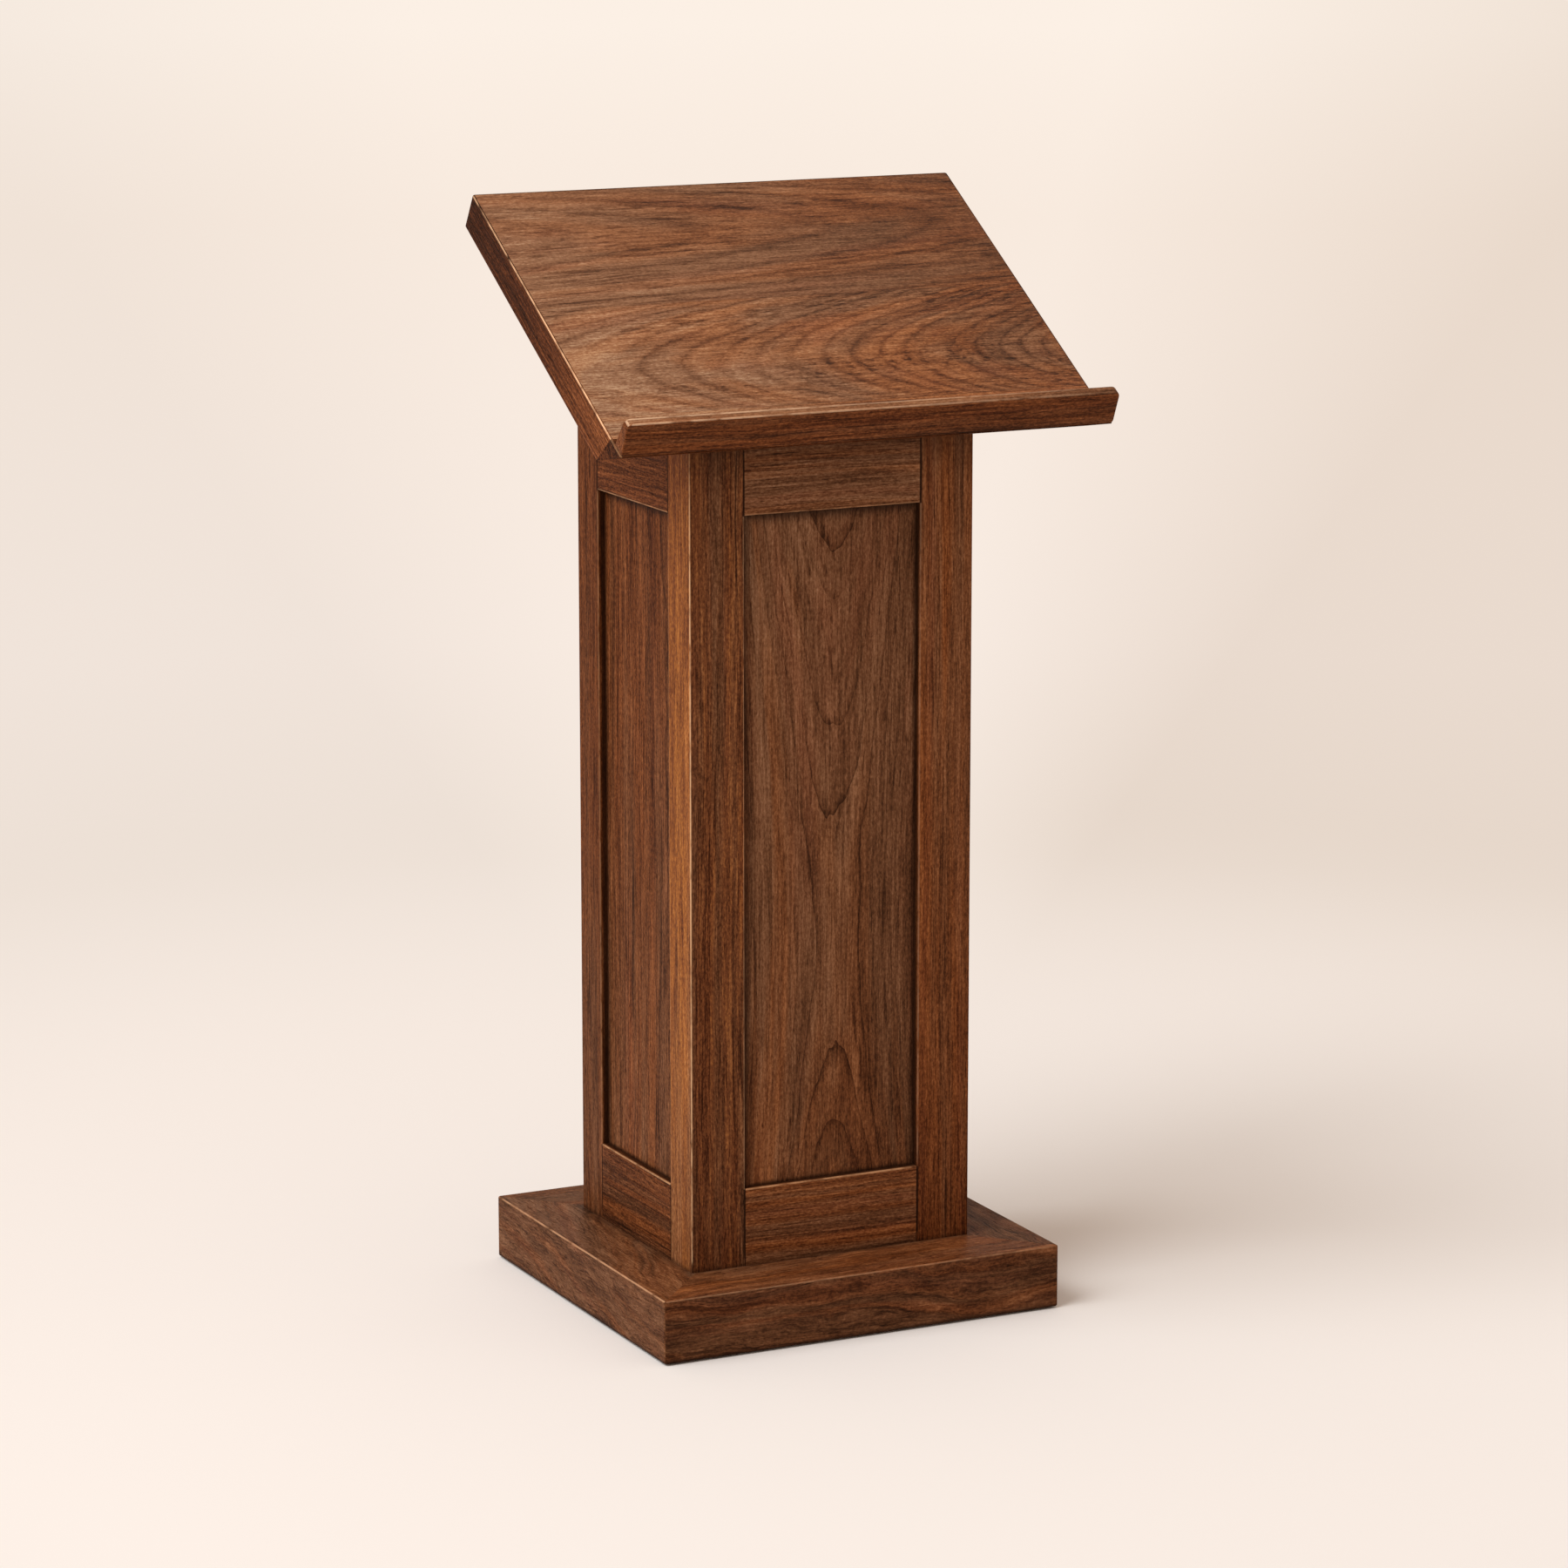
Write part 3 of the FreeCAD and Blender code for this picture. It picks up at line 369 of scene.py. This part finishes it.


class Spot:
    """Where the shaded point lies in its board and in the lectern, and which way its surface looks."""

    def __init__(self, tree, name, board):
        axes = (board.along, board.along.cross(board.face), board.face)
        corners = [vertex.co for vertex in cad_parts[name].data.vertices]
        reaches = [[corner.dot(axis) for corner in corners] for axis in axes]
        halves = [(max(reach) - min(reach)) / 2 for reach in reaches]
        middles = [(max(reach) + min(reach)) / 2 for reach in reaches]

        self.tree = tree
        self.at = add(tree, "ShaderNodeTexCoord", output="Object")
        places = [along_axis(tree, self.at, axis) - middle for axis, middle in zip(axes, middles)]
        self.length, self.across, self.depth = places
        self.gap_along, self.gap_across, self.gap_depth = [half - abs(place) for half, place in zip(halves, places)]
        self.from_foot = halves[1] - self.across

        normal = add(tree, "ShaderNodeNewGeometry", output="Normal")
        self.endways, self.sideways, _ = [abs(along_axis(tree, normal, axis)) for axis in axes]

        x, y, self.z = split(tree, self.at)
        inside_x = COLUMN_HALF_WIDTH - abs(x)
        inside_y = COLUMN_HALF_DEPTH - abs(y)
        self.inside_column = inside_x.smaller(inside_y)
        self.from_column_corner = inside_x.larger(inside_y)

        # How far the nearest long edge looks towards the light, for its painted highlight
        weights = [axis.dot(HIGHLIGHT_FROM) / (half * math.sqrt(2)) for axis, half in zip(axes, halves)]
        self.light_facing = (self.across * weights[1] + self.depth * weights[2]).smooth(*FACING_LIGHT)


def grain_at(spot, board):
    made = spot.tree.nodes.new("ShaderNodeGroup")
    made.node_tree = GRAIN
    spot.tree.links.new(combine(spot.tree, spot.length, spot.across, spot.depth).socket, made.inputs["Point"])
    sawn = (board.seed, *board.pith, board.lean, board.bow, board.drift, board.wave, board.curl, board.ring,
            board.soft, board.figure, board.cloud, board.fine)
    for name, value in zip(GRAIN_INPUTS, sawn):
        made.inputs[name].default_value = value
    return [Field(output) for output in made.outputs]


def shade_of(spot, board, grain):
    sides = spot.length * board.side_fade + board.side_tone
    whole = grain + board.tone + spot.length * board.fade + spot.across * board.lift
    return whole + spot.sideways.smooth(*TURNED) * sides + spot.endways.smooth(*TURNED) * board.end_tone


def wood_colour(spot, board, shade, tint, blush):
    """The clean wood: cool or warm by its tint, and here and there a little red."""
    tree = spot.tree
    sides = spot.length * board.side_warm_fade + board.side_warmth
    whole = spot.length * board.warm_fade + spot.across * board.warm_lift + board.warmth
    warmth = tint.smooth(*TINTED) * TINT_STRENGTH + whole + spot.sideways.smooth(*TURNED) * sides
    redness = blush.smooth(*BLUSHED) * BLUSH_STRENGTH
    body = mix(tree, warmth, ramp(tree, shade, board.cool), ramp(tree, shade, board.warm))
    return mix(tree, redness, body, ramp(tree, shade, board.red))


def edges_of(spot, board):
    """Where the painted highlight lies: 1 along the long edges, and round an end that shows."""
    line = [board.edge * widths for widths in EDGE_LINE]
    outer = spot.depth.smooth(*SHOW_HALF)
    widen = outer * (1 - 1 / board.far_edge) + 1 / board.far_edge
    gap_depth = spot.gap_depth - spot.from_foot * board.taper
    edge = ((spot.gap_across + gap_depth) * widen).smooth(*line) * float(board.worn_sides)
    if board.worn_ends:
        end = (spot.gap_along + spot.gap_across).smooth(*line)
        rounding = (spot.endways * spot.sideways).smooth(*END_ROUNDING)
        edge = edge.larger(end).larger(rounding)
    return edge * outer if board.outer_only else edge


def shades_of(spot, board, edge):
    """How dark the joints make a point, with painted shade in the recesses, under the desk, at the foot, by the floor
    and round the panels, and what these leave of an edge's painted highlight.
    """
    seam = abs(spot.length).smooth(*[board.seam_along - gap for gap in SEAM_LINE])
    glue = abs(spot.across).smooth(*[board.seam_across - gap for gap in GLUE_LINE])
    dark = (seam * SEAM_STRENGTH).larger(glue * GLUE_STRENGTH)
    if board.in_column:
        under_desk = DESK_UNDERSIDE - along_axis(spot.tree, spot.at, DESK_FACE)
        dark = dark.larger(spot.inside_column.smooth(*RECESS_LINE) * RECESS_STRENGTH)
        dark = dark.larger(under_desk.smooth(board.desk_shade, 0.0) * DESK_STRENGTH)
        dark = dark.larger(spot.z.smooth(PLINTH_TOP + FOOT_SHADE, PLINTH_TOP) * FOOT_STRENGTH)
        edge = edge * spot.z.smooth(PLINTH_TOP + FOOT_SHADE, PLINTH_TOP + FOOT_CLEAR)
    if board.contact:
        dark = dark.larger(spot.inside_column.smooth(-board.contact, 0.0) * FOOT_STRENGTH)
        dark = dark.larger(spot.z.smooth(*FLOOR_LINE) * FLOOR_STRENGTH)
    if board.beside_rails:
        below = spot.z.smooth(PANEL_LOW, PANEL_LOW - JOINT_END)
        above = spot.z.smooth(PANEL_HIGH - JOINT_END, PANEL_HIGH)
        joint = edge * spot.from_column_corner.smooth(*CORNER_CLEAR) * below.larger(above)
        dark = dark.larger(joint * SEAM_STRENGTH)
        edge = edge - joint
    if board.border:
        half_along, half_across = board.border
        gaps = (spot.across + half_across, half_across - spot.across, spot.length + half_along,
                half_along - spot.length)
        for gap, reach in zip(gaps, board.border_shade):
            dark = dark.larger(gap.smooth(reach, 0.0) * RECESS_STRENGTH)
    return dark, edge


# The painted highlight along an edge: broken here and there, and strongest where the edge faces the light
def highlight_of(spot, board, edge):
    breaks = noise(spot.tree, scaled(spot.tree, spot.at, HIGHLIGHT_BREAK_SCALE), detail=3).smooth(*HIGHLIGHT_BREAKS)
    light_facing = spot.light_facing * (1 - board.low_wear) + board.low_wear
    return edge * breaks * light_facing * (spot.length * board.wear_fade + board.wear)


def wood(name, board):
    """A satin wood for one board, with painted highlights along its edges, painted shade in its recesses, under the
    desk and at its foot, and dark at its joints.
    """
    material, tree, shader = new_material(name)
    spot = Spot(tree, name, board)
    grain, tint, blush, pores, height = grain_at(spot, board)
    shade = shade_of(spot, board, grain)
    clean = wood_colour(spot, board, shade, tint, blush)
    dark, edge = shades_of(spot, board, edges_of(spot, board))
    # the painted edge highlights
    worn = mix(tree, highlight_of(spot, board, edge), clean, colour(board.worn))
    plug(shader, Base_Color=mix(tree, dark, worn, SHADE), Roughness=pores * 0.16 - shade * 0.10 + 0.5,
         Normal=bump(tree, height, strength=0.35, distance=0.0004))
    shader.inputs["Specular IOR Level"].default_value = board.gloss
    return material


def post(seed, **more):
    return Board(UP, FRONT, seed, in_column=True, beside_rails=True, edge=0.0014, figure=0.45, **more)


def rail(face, seed, wear=0.36, low_wear=0.35, **more):
    seam = FRONT_OPENING_HALF if face in (FRONT, BACK) else SIDE_OPENING_HALF
    return Board(UP.cross(face), face, seed, seam_along=seam, in_column=True, wave=0.02, wear=wear, low_wear=low_wear,
                 worn=HIGHLIGHT_DULL, **more)


def panel(face, seed, half_height=PANEL_HALF_HEIGHT, **more):
    half_width = FRONT_OPENING_HALF if face in (FRONT, BACK) else SIDE_OPENING_HALF
    return Board(UP, face, seed, border=(half_height, half_width), **more)


def desk_board(seed, **more):
    return Board(RIGHT, DESK_FACE, seed, soft=1.0, wear=0.0, gloss=0.1, **more)


def desk_band(along, face, seed, tone=-0.22, **more):
    return Board(along, face, seed, outer_only=True, tone=tone, **more)


def plinth_beam(along, face, seed, contact=0.014, warmth=-0.3, **more):
    return Board(along, face, seed, ring=0.010, wave=0.060, curl=0.016, soft=1.0, figure=0.45, cloud=0.45, fine=0.75,
                 worn="dca880", warmth=warmth, contact=contact, **more)


def hidden(along, face, seed, wood_colours):
    return Board(along, face, seed, warm=wood_colours, cool=wood_colours, red=wood_colours, wear=0.0)


BOARDS = {
    # Its side is painted lighter and paler towards its foot, a painted bounce light from the floor
    "front_left_post": post(
        1.0, tone=-0.06, lift=1.2, fade=0.08, warmth=-0.1, warm_fade=-0.2, side_tone=0.158, side_fade=-0.15,
        side_warmth=0.7, side_warm_fade=1.4, warm=WALNUT_GOLD, desk_shade=0.055, wear=0.85, wear_fade=0.25,
        low_wear=0.25, worn="f4c496"),
    "front_right_post": post(
        2.0, fine=0.85, tone=-0.045, fade=0.2, warmth=0.35, warm_fade=-0.4, desk_shade=0.070, wear=0.12),
    # Darker towards the top and lighter towards the foot: painted shade under the desk and painted bounce light from
    # the floor
    "rear_left_post": post(
        3.0, fine=0.8, tone=-0.145, fade=-0.13, warmth=0.5, warm_fade=0.6, wear=0.22, worn=HIGHLIGHT_DULL),
    "rear_right_post": post(4.0, fine=0.85),

    "front_top_rail": rail(FRONT, 5.0, low_wear=0.7, warmth=-0.3, tone=0.06, desk_shade=0.048),
    "front_bottom_rail": rail(FRONT, 6.0, wear=0.6, tone=-0.025, warmth=0.12),
    "rear_top_rail": rail(BACK, 7.0),
    "rear_bottom_rail": rail(BACK, 8.0),
    "left_top_rail": rail(LEFT, 9.0, wear=0.5, low_wear=0.9, tone=-0.16, warmth=0.8),
    "left_bottom_rail": rail(LEFT, 10.0, wear=0.6, tone=-0.15, warmth=0.3),
    "right_top_rail": rail(RIGHT, 11.0),
    "right_bottom_rail": rail(RIGHT, 12.0),

    "front_panel": panel(
        FRONT, 13.0, pith=(0.006, -0.10), lean=0.026, bow=0.16, curl=0.0011, ring=0.006, figure=1.1, fine=0.87,
        tone=-0.005, fade=0.17, lift=-0.62, warmth=-0.55, warm_fade=-1.0, warm_lift=-3.5,
        border_shade=(0.019, 0.007, 0.006, 0.015)),
    # Darker towards the top and lighter towards the foot: painted shade under the top rail and painted bounce light
    # near the floor
    "left_panel": panel(LEFT, 14.0, pith=(0.09, -0.14), tone=-0.1, fade=-0.14, warmth=0.25, warm_fade=0.6),
    "right_panel": panel(RIGHT, 15.0, pith=(-0.03, -0.11), lean=0.05),
    # Only the sides of the rear panel are shaded, so its border lies past its ends
    "rear_panel": panel(BACK, 16.0, half_height=0.5, pith=(0.01, -0.09), lean=0.07),

    # The desk boards are painted lighter and cooler towards their left ends, a painted light and sheen from the left;
    # the middle board is painted lighter along its lower edge beside the ledge
    "desk_front_board": desk_board(17.0, pith=(0.25, -0.1), figure=0.45, tone=0.16, fade=-0.42, warm_fade=0.8),
    "desk_middle_board": desk_board(
        18.0, pith=(0.022, -0.14), lean=0.16, bow=0.12, ring=0.0055, curl=0.0012, figure=0.92, fine=0.96, tone=0.116,
        fade=-0.45, lift=0.35, warmth=-0.2, warm_fade=1.3, seam_across=MIDDLE_BOARD_HALF),
    "desk_rear_board": desk_board(
        19.0, pith=(-0.02, -0.12), lean=-0.06, curl=0.0012, figure=0.75, fine=0.87, tone=0.068, fade=-0.44,
        warmth=-0.27, warm_fade=1.3),
    "desk_left_band": desk_band(
        UPHILL, LEFT, 20.0, tone=-0.235, fade=-0.95, warmth=0.9, wear=0.78, wear_fade=-0.9, low_wear=0.1,
        worn="ecba90"),
    "desk_right_band": desk_band(UPHILL, RIGHT, 21.0, wear=0.2),
    "desk_rear_band": desk_band(RIGHT, UPHILL, 22.0, wear=0.3),
    # The nosing is painted dark all over, for the shade it lies in under the ledge
    "desk_nosing": Board(
        RIGHT, -UPHILL, 23.0, tone=-0.4, side_tone=0.3, end_tone=0.12, warmth=0.5, wear=0.3, worn_sides=False,
        worn_ends=True, worn=HIGHLIGHT_DULL),
    # Its top is painted lighter and cooler, more so towards the left end: a painted sheen
    "book_ledge": Board(
        RIGHT, -UPHILL, 24.0, figure=0.6, fine=0.88, tone=-0.14, side_tone=0.24, side_fade=-0.4, end_tone=0.04,
        warmth=0.4, side_warmth=-0.6, gloss=0.04, edge=0.00115, far_edge=2.3, taper=0.132, wear=0.34, wear_fade=-0.8,
        worn_ends=True),

    "plinth_front": plinth_beam(
        RIGHT, FRONT, 25.0, contact=0.005, tone=-0.12, side_tone=0.07, side_warmth=0.5, wear=0.25),
    "plinth_rear": plinth_beam(RIGHT, BACK, 26.0, tone=-0.08, wear=0.3),
    "plinth_left": plinth_beam(
        BACK, LEFT, 27.0, drift=0.3, tone=-0.04, side_tone=0.03, warmth=-0.5, side_warmth=0.2, wear=0.6),
    "plinth_right": plinth_beam(BACK, RIGHT, 28.0, tone=-0.08, wear=0.3),
}
for side, face in (("front", FRONT), ("rear", BACK), ("left", LEFT), ("right", RIGHT)):
    BOARDS[f"{side}_foot_cleat"] = hidden(UP.cross(face), face, 30.0, PINE)
for side, face in (("left", LEFT), ("right", RIGHT)):
    BOARDS[f"{side}_desk_cleat"] = hidden(UPHILL, face, 35.0, PINE)
for name in ("desk_splines", "ledge_dowels", "nosing_dowels", "plinth_splines"):
    BOARDS[name] = hidden(RIGHT, UP, 40.0, BEECH)


# Glides and screws

NYLON = ((0.3, "17110d"), (0.7, "2b211a"))
NYLON_SKIN_SCALE = 900.0
ZINC = ((0.3, "8f9196"), (0.7, "c4c6c8"))
TURNING_MARKS_SCALE = 1400.0


def moulded_nylon():
    """Dark brown moulded nylon with a faint orange-peel skin."""
    material, tree, shader = new_material("nylon")
    at = add(tree, "ShaderNodeTexCoord", output="Object")
    skin = noise(tree, scaled(tree, at, NYLON_SKIN_SCALE), detail=3)
    plug(shader, Base_Color=ramp(tree, skin, NYLON), Roughness=skin * 0.2 + 0.4,
         Normal=bump(tree, skin, strength=0.2, distance=0.0002))
    return material


def zinc_steel():
    """Zinc-plated steel with fine turning marks."""
    material, tree, shader = new_material("steel")
    shader.inputs["Metallic"].default_value = 1.0
    at = add(tree, "ShaderNodeTexCoord", output="Object")
    marks = noise(tree, scaled(tree, at, TURNING_MARKS_SCALE), detail=4, roughness=0.7)
    plug(shader, Base_Color=ramp(tree, marks, ZINC), Roughness=marks * 0.25 + 0.25)
    return material


def dress(node, material):
    node.data.materials.clear()
    node.data.materials.append(material)
    node.data.polygons.foreach_set("material_index", [0] * len(node.data.polygons))


steel = zinc_steel()
for name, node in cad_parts.items():
    if name.endswith("_screws"):
        dress(node, steel)
    elif name == "floor_glides":
        dress(node, moulded_nylon())
    else:
        dress(node, wood(name, BOARDS[name]))


# Studio

FLOOR_REACH = 60.0
PAPER_ENDS = (1.0, 2.6)  # distances over which the paper passes into the backdrop
PAPER = colour("f7f2ef")
BACKDROP_REACH = 20.0
BACKDROP = ((0.22, "f9eee5"), (0.33, "f4e7dc"), (0.44, "f8ebe1"), (0.75, "f8eade"), (1.0, "fcf0e5"))
BACKDROP_ASIDE = ((0.1, "f7f7f7"), (0.33, "ffffff"), (0.66, "ffffff"), (0.92, "f0edea"))
ACROSS_VIEW = Vector((0.898, -0.440, 0.0))

WORLD_COLOUR = colour("ffecdb")
WORLD_LIGHT = 0.6
WORLD_SEEN = 0.9
SUN_POWER = 1.6
SUN_WIDTH = math.radians(44)
SUN_COLOUR = (0.93, 0.995, 1.035)
SUN_FROM = Vector((-0.68, -0.07, 0.73))
SOFTBOX_PLACE = Vector((-1.25, -0.55, 2.15))
SOFTBOX_TARGET = Vector((0, -0.05, 1.0))
SOFTBOX_SIZE = 1.0
SOFTBOX_POWER = 9
SOFTBOX_COLOUR = (1.0, 0.985, 0.965)

LENS = 124.67
SENSOR = 36.0
CAMERA_AZIMUTH = math.radians(-26.13)
CAMERA_ELEVATION = math.radians(11.818)
CAMERA_TARGET = Vector((0.21142, 0.40559, 0.45798))
CAMERA_DISTANCE = 6.2636


def link_object(name, data, place=(0, 0, 0), back=None):
    """Puts an object into the scene, with its Z axis along back where that is given."""
    made = bpy.data.objects.new(name, data)
    made.location = place
    if back is not None:
        made.rotation_mode = "QUATERNION"
        made.rotation_quaternion = back.to_track_quat("Z", "Y")
    bpy.context.scene.collection.objects.link(made)
    return made


def seen_rays(tree):
    """1 for the rays that show a background: those of the camera, of gloss and through glass."""
    path = add(tree, "ShaderNodeLightPath").socket.node.outputs
    camera, glossy, through = [Field(path[n]) for n in ("Is Camera Ray", "Is Glossy Ray", "Is Transmission Ray")]
    return camera.larger(glossy).larger(through)


def make_floor():
    """Paper round the object, which takes its shadow, and far from it a glowing backdrop that the camera sees, with
    painted tones that change with distance and a painted falloff towards the sides of the view.
    """
    corners = [(x * FLOOR_REACH, y * FLOOR_REACH, 0) for x, y in ((-1, -1), (1, -1), (1, 1), (-1, 1))]
    mesh = bpy.data.meshes.new("floor")
    mesh.from_pydata(corners, [], [(0, 1, 2, 3)])
    floor = link_object("floor", mesh)

    material, tree, paper = new_material("paper")
    mesh.materials.append(material)
    paper.inputs["Base Color"].default_value = PAPER
    paper.inputs["Roughness"].default_value = 0.9
    paper.inputs["Specular IOR Level"].default_value = 0.0
    at = add(tree, "ShaderNodeTexCoord", output="Object")
    distance = add(tree, "ShaderNodeVectorMath", (at,), output="Value", operation="LENGTH")
    tones = ramp(tree, (distance / BACKDROP_REACH).math("SQRT"), BACKDROP)
    aside = along_axis(tree, at, ACROSS_VIEW) / distance
    # painted falloff of light: the backdrop darkens towards the sides of the view
    fall = ramp(tree, aside * 2 + 0.5, BACKDROP_ASIDE)
    backdrop = add(tree, "ShaderNodeEmission", (mix(tree, 1.0, tones, fall, "MULTIPLY"), 1.0))
    seen = seen_rays(tree) * distance.smooth(*PAPER_ENDS)
    mixed = add(tree, "ShaderNodeMixShader", (seen, Field(paper.outputs[0]), backdrop))
    tree.links.new(mixed.socket, tree.nodes["Material Output"].inputs["Surface"])


def make_light():
    world = bpy.data.worlds.new("studio")
    world.use_nodes = True
    tree = world.node_tree
    background = tree.nodes["Background"]
    background.inputs["Color"].default_value = WORLD_COLOUR
    plug(background, Strength=seen_rays(tree) * (WORLD_SEEN - WORLD_LIGHT) + WORLD_LIGHT)
    bpy.context.scene.world = world

    sun = bpy.data.lights.new("key", "SUN")
    sun.energy = SUN_POWER
    sun.angle = SUN_WIDTH
    sun.color = SUN_COLOUR
    link_object("key", sun, back=SUN_FROM)

    softbox = bpy.data.lights.new("desk_light", "AREA")
    softbox.shape = "SQUARE"
    softbox.size = SOFTBOX_SIZE
    softbox.energy = SOFTBOX_POWER
    softbox.color = SOFTBOX_COLOUR
    link_object("desk_light", softbox, SOFTBOX_PLACE, SOFTBOX_PLACE - SOFTBOX_TARGET)


def make_camera():
    lens = bpy.data.cameras.new("camera")
    lens.lens = LENS
    lens.sensor_width = SENSOR
    level = math.cos(CAMERA_ELEVATION)
    back = Vector((math.sin(CAMERA_AZIMUTH) * level, -math.cos(CAMERA_AZIMUTH) * level, math.sin(CAMERA_ELEVATION)))
    bpy.context.scene.camera = link_object("camera", lens, CAMERA_TARGET + back * CAMERA_DISTANCE, back)


make_floor()
make_light()
make_camera()
bpy.context.scene.view_settings.view_transform = "Standard"
